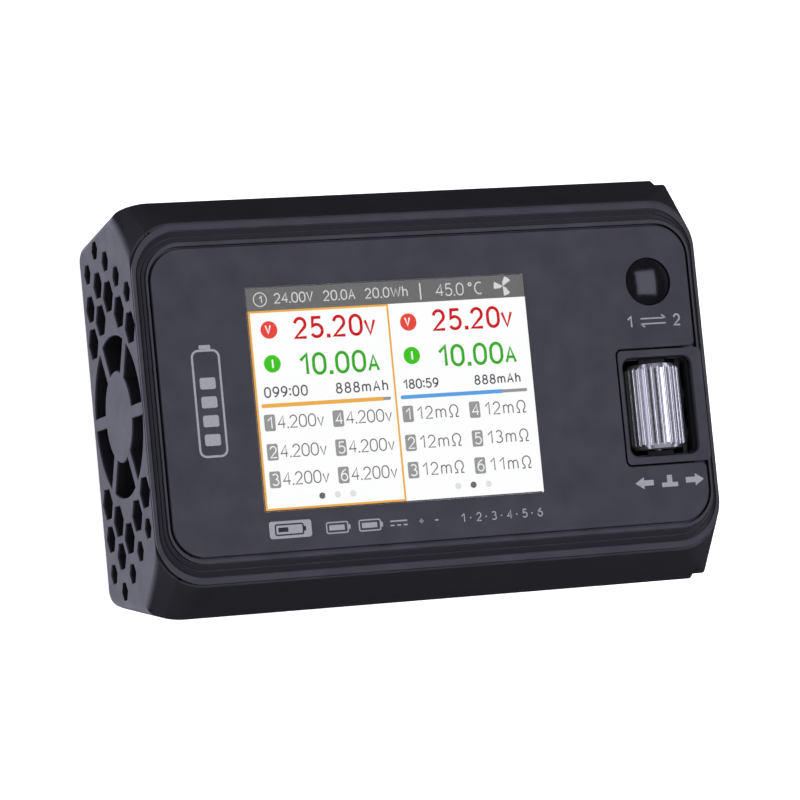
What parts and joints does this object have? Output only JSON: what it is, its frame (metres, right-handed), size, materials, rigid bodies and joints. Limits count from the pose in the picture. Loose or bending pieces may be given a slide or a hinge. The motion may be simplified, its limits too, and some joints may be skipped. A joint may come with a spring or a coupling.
{
  "type": "balance battery charger",
  "caption": "Palm-sized balance charger with a colour display, channel button, ribbed scroll wheel, hex-hole fan grille and side sockets.",
  "frame": {"origin": "middle of the plane that the rubber feet stand on", "axes": "+X to the right of the display, +Y towards the top of the display, +Z out of the display"},
  "size_m": [0.1004, 0.0692, 0.036],
  "materials": {
    "case_plastic": "fine satin moulding texture",
    "bezel_plastic": "satin",
    "panel_face": "semi-gloss",
    "button_gloss": "polished",
    "window_clear": "clear",
    "display_glass": "lit display",
    "metal_steel": "brushed",
    "wheel_chrome": "polished, ribbed",
    "inner_plastic": "moulded",
    "coil_core": "sintered",
    "board_green": "solder mask",
    "heatsink_alloy": "satin",
    "pad_grey": "soft",
    "gold_contact": "gold plated",
    "power_housing": "moulded nylon",
    "balance_housing": "moulded nylon",
    "foot_rubber": "moulded",
    "label_film": "printed film"
  },
  "bodies": {
    "case": {"back_label": "label_film", "balance_housing_1": "balance_housing", "balance_housing_2": "balance_housing", "balance_pins_1": "gold_contact", "balance_pins_2": "gold_contact", "board_link_header": "inner_plastic", "board_link_socket": "inner_plastic", "board_pillars": "gold_contact", "board_screws": "metal_steel", "bulk_capacitors": "heatsink_alloy", "button_switch": "inner_plastic", "buzzer": "inner_plastic", "case_screws": "metal_steel", "controller_chip": "inner_plastic", "current_shunts": "inner_plastic", "encoder_sensor": "inner_plastic", "fan_bearing": "gold_contact", "fan_frame": "inner_plastic", "fan_header": "balance_housing", "fan_lead": "inner_plastic", "fan_stator": "coil_core", "front_bezel": "bezel_plastic", "front_board": "board_green", "front_panel": "panel_face", "heatsink": "heatsink_alloy", "input_housing": "power_housing", "input_pins": "gold_contact", "lcd_frame": "metal_steel", "lcd_glass": "display_glass", "lcd_window": "window_clear", "left_grille": "case_plastic", "main_board": "board_green", "main_shell": "case_plastic", "output_contacts_1": "gold_contact", "output_contacts_2": "gold_contact", "output_housing_1": "power_housing", "output_housing_2": "power_housing", "power_inductors": "coil_core", "power_transistors": "inner_plastic", "right_side_panel": "case_plastic", "rubber_foot_1": "foot_rubber", "rubber_foot_2": "foot_rubber", "rubber_foot_3": "foot_rubber", "rubber_foot_4": "foot_rubber", "thermal_pad": "pad_grey", "usb_a_port": "metal_steel", "usb_c_port": "metal_steel", "usb_tongues": "inner_plastic", "wheel_base": "inner_plastic", "wheel_switch": "inner_plastic"},
    "channel_button": {"channel_button": "button_gloss", "button_plunger": "inner_plastic"},
    "wheel_carrier": {"wheel_carrier": "inner_plastic", "wheel_axle": "metal_steel", "wheel_plunger": "inner_plastic"},
    "scroll_wheel": {"scroll_wheel": "wheel_chrome", "encoder_magnet": "coil_core"},
    "fan_rotor": {"fan_rotor": "inner_plastic", "fan_shaft": "metal_steel"}
  },
  "joints": [
    {"name": "channel_button_press", "type": "slide", "parent": "case", "child": "channel_button", "axis": [0, 0, -1], "range_m": [0, 0.0006], "stiffness_N_per_m": 500},
    {"name": "wheel_press", "type": "slide", "parent": "case", "child": "wheel_carrier", "axis": [0, 0, -1], "range_m": [0, 0.0005], "stiffness_N_per_m": 800},
    {"name": "wheel_spin", "type": "hinge", "parent": "wheel_carrier", "child": "scroll_wheel", "pos_m": [0.0402, -0.0055, 0.0314], "axis": [0, 1, 0], "continuous": true},
    {"name": "fan_spin", "type": "hinge", "parent": "case", "child": "fan_rotor", "pos_m": [-0.0421, 0, 0.0176], "axis": [1, 0, 0], "continuous": true}
  ]
}
